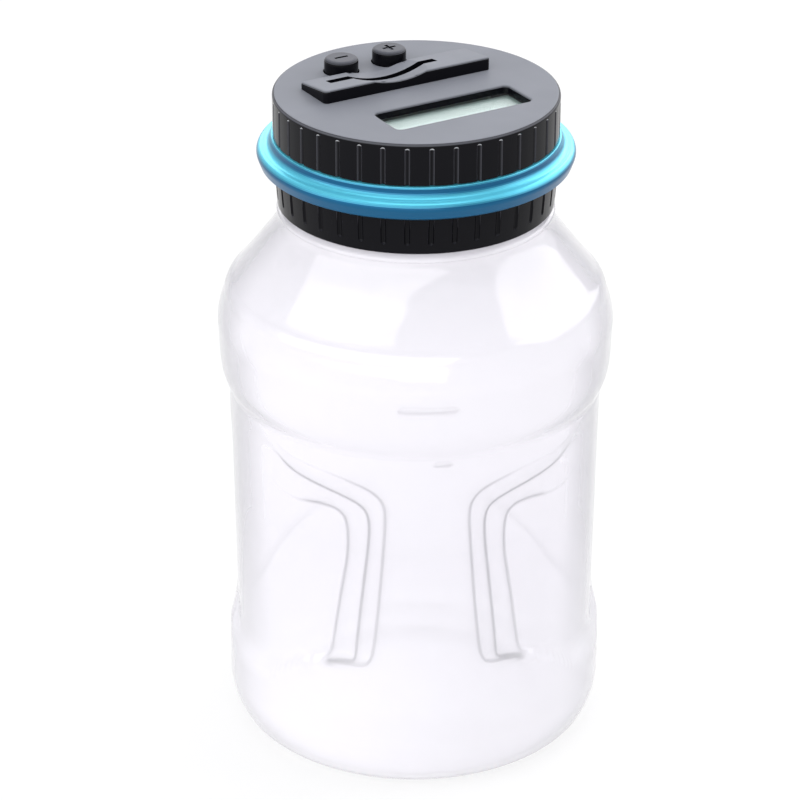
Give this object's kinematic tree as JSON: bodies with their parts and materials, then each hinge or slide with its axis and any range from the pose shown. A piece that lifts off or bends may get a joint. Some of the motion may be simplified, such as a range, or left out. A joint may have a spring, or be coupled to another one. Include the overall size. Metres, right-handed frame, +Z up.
{
  "type": "digital coin counting jar",
  "caption": "Clear bottle with side grip recesses and a screw-on black lid with a coin slot, a display, two keys, a blue trim ring and a battery bay.",
  "frame": {"origin": "centre of the base, on the plane that the jar stands on", "axes": "+Z up along the jar's axis, -Y towards the front between the two grip edges, +X to its right"},
  "size_m": [0.11, 0.11, 0.194],
  "materials": {
    "clear_plastic": "clear blown PET, glossy",
    "blue_ring": "metallic blue, satin gloss",
    "black_gloss": "black moulded plastic, glossy",
    "black_satin": "black moulded plastic, satin top",
    "key_plastic": "black moulded key, satin",
    "steel": "zinc plated",
    "window": "clear acrylic window",
    "lcd_glass": "liquid crystal panel, greenish grey",
    "elastomer": "striped conductive elastomer",
    "circuit_board": "green fibreglass board",
    "epoxy": "black epoxy blob",
    "switch_body": "moulded switch body",
    "ribbon": "grey flat cable",
    "inner_black": "black moulded plastic, matte",
    "lever_plastic": "natural acetal",
    "spring_wire": "spring wire",
    "nickel": "nickel plated strip",
    "cell_jacket": "printed jacket, no marks",
    "red_wire": "red insulation",
    "black_wire": "black insulation"
  },
  "bodies": {
    "jar": {"jar": "clear_plastic"},
    "trim_ring": {"trim_ring": "blue_ring"},
    "lid": {"screw_collar": "black_gloss", "top_cover": "black_satin", "cover_screws": "steel", "lcd_window": "window", "lcd_panel": "lcd_glass", "zebra_strips": "elastomer", "main_board": "circuit_board", "board_screws": "steel", "controller_chip": "epoxy", "key_board": "circuit_board", "key_switches": "switch_body", "ribbon_cable": "ribbon", "coin_chute": "inner_black", "lever_pin": "steel", "lever_spring": "spring_wire", "coin_sensor": "inner_black", "battery_cells": "cell_jacket", "battery_contacts": "nickel", "battery_springs": "spring_wire", "red_lead": "red_wire", "black_lead": "black_wire"},
    "minus_button": {"minus_button": "key_plastic", "minus_plunger": "switch_body"},
    "plus_button": {"plus_button": "key_plastic", "plus_plunger": "switch_body"},
    "coin_lever": {"coin_lever": "lever_plastic"},
    "battery_door": {"battery_door": "inner_black"}
  },
  "joints": [
    {"name": "lid_rise", "type": "slide", "parent": "jar", "child": "trim_ring", "axis": [0, 0, 1], "range_m": [0, 0.0151]},
    {"name": "lid_turn", "type": "hinge", "parent": "trim_ring", "child": "lid", "pos_m": [0, 0, 0.17], "axis": [0, 0, 1], "range_deg": [0, 1080]},
    {"name": "minus_press", "type": "slide", "parent": "lid", "child": "minus_button", "axis": [0, 0, -1], "range_m": [0, 0.0006], "stiffness_N_per_m": 400},
    {"name": "plus_press", "type": "slide", "parent": "lid", "child": "plus_button", "axis": [0, 0, -1], "range_m": [0, 0.0006], "stiffness_N_per_m": 400},
    {"name": "coin_lever_swing", "type": "hinge", "parent": "lid", "child": "coin_lever", "pos_m": [0.00828, 0.01679, 0.18], "axis": [0.454, -0.891, 0], "range_deg": [0, 75], "stiffness_Nm_per_rad": 0.0003, "springref_deg": -34.38},
    {"name": "battery_door_swing", "type": "hinge", "parent": "lid", "child": "battery_door", "pos_m": [-0.00154, 0.00303, 0.1692], "axis": [0.891, 0.454, 0], "range_deg": [0, 90]}
  ],
  "couplings": [
    {"joint": "lid_rise", "follows": "lid_turn", "m_per_rad": 0.00079577}
  ]
}
